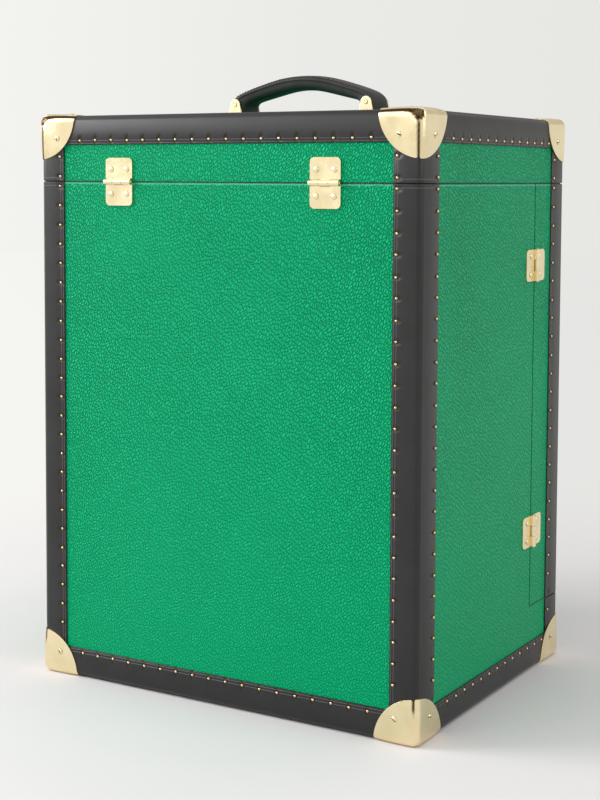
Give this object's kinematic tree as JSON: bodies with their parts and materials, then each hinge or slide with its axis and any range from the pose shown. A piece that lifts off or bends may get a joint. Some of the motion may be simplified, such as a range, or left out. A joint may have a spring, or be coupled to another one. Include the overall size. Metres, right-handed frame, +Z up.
{
  "type": "travel bar case",
  "caption": "Upright leather-covered travel bar case with a hinged lid, a wrap-round front door, brass corners, hinges and clasps, a top handle and a divided bottle compartment.",
  "frame": {"origin": "middle of the base, on the surface the case stands on", "axes": "+Z up; the front with the door faces -Y and the lid hinges are on the +Y face; the door hangs on the -X side"},
  "size_m": [0.4274, 0.3354, 0.5915],
  "materials": {
    "green_leather": "pebble grain, satin",
    "black_leather": "smooth, satin",
    "brass": "pale, polished",
    "plywood": "bare birch plywood",
    "walnut_fittings": "satin varnish",
    "suede_lining": "brushed suede"
  },
  "bodies": {
    "case_body": {"left_board": "plywood", "right_board": "plywood", "back_board": "plywood", "floor_board": "plywood", "plinth_board": "plywood", "body_leather": "green_leather", "body_binding": "black_leather", "body_lining": "suede_lining", "base_corners": "brass", "body_rivets": "brass", "lid_hinge_body_leaves": "brass", "door_hinge_body_leaves": "brass", "hinge_pins": "brass", "body_keepers": "brass", "tray_wall": "walnut_fittings", "long_divider": "walnut_fittings", "cross_dividers": "walnut_fittings", "shelf": "walnut_fittings", "shelf_cleats": "walnut_fittings"},
    "lid": {"lid_top_board": "plywood", "lid_left_board": "plywood", "lid_right_board": "plywood", "lid_front_board": "plywood", "lid_back_board": "plywood", "lid_leather": "green_leather", "lid_binding": "black_leather", "lid_lining": "suede_lining", "top_corners": "brass", "lid_rivets": "brass", "lid_hinge_lid_leaves": "brass", "lid_keeper": "brass", "handle_brackets": "brass", "handle_pins": "brass", "handle_grip": "black_leather"},
    "door": {"door_front_board": "plywood", "door_left_board": "plywood", "door_right_board": "plywood", "door_bottom_board": "plywood", "door_leather": "green_leather", "door_binding": "black_leather", "door_lining": "suede_lining", "door_hinge_door_leaves": "brass", "door_rivets": "brass", "clasp_bases": "brass", "door_shelf": "walnut_fittings", "door_rails": "brass"},
    "front_hasp": {"front_hasp": "brass"},
    "front_bolt": {"front_bolt": "brass"},
    "lower_hasp": {"lower_hasp": "brass"},
    "lower_bolt": {"lower_bolt": "brass"},
    "upper_hasp": {"upper_hasp": "brass"},
    "upper_bolt": {"upper_bolt": "brass"}
  },
  "joints": [
    {"name": "lid_hinge", "type": "hinge", "parent": "case_body", "child": "lid", "pos_m": [0, 0.16205, 0.486], "axis": [-1, 0, 0], "range_deg": [0, 105]},
    {"name": "door_hinge", "type": "hinge", "parent": "case_body", "child": "door", "pos_m": [-0.20805, -0.091, 0.275], "axis": [0, 0, -1], "range_deg": [0, 165]},
    {"name": "front_hasp_hinge", "type": "hinge", "parent": "door", "child": "front_hasp", "pos_m": [0, -0.1638, 0.477], "axis": [1, 0, 0], "range_deg": [0, 155]},
    {"name": "lower_hasp_hinge", "type": "hinge", "parent": "door", "child": "lower_hasp", "pos_m": [0.2098, -0.1, 0.142], "axis": [0, 0, -1], "range_deg": [0, 155]},
    {"name": "upper_hasp_hinge", "type": "hinge", "parent": "door", "child": "upper_hasp", "pos_m": [0.2098, -0.1, 0.406], "axis": [0, 0, -1], "range_deg": [0, 155]},
    {"name": "front_bolt_slide", "type": "slide", "parent": "lid", "child": "front_bolt", "axis": [-1, 0, 0], "range_m": [0, 0.007]},
    {"name": "lower_bolt_slide", "type": "slide", "parent": "case_body", "child": "lower_bolt", "axis": [0, 0, 1], "range_m": [0, 0.007]},
    {"name": "upper_bolt_slide", "type": "slide", "parent": "case_body", "child": "upper_bolt", "axis": [0, 0, 1], "range_m": [0, 0.007]}
  ]
}
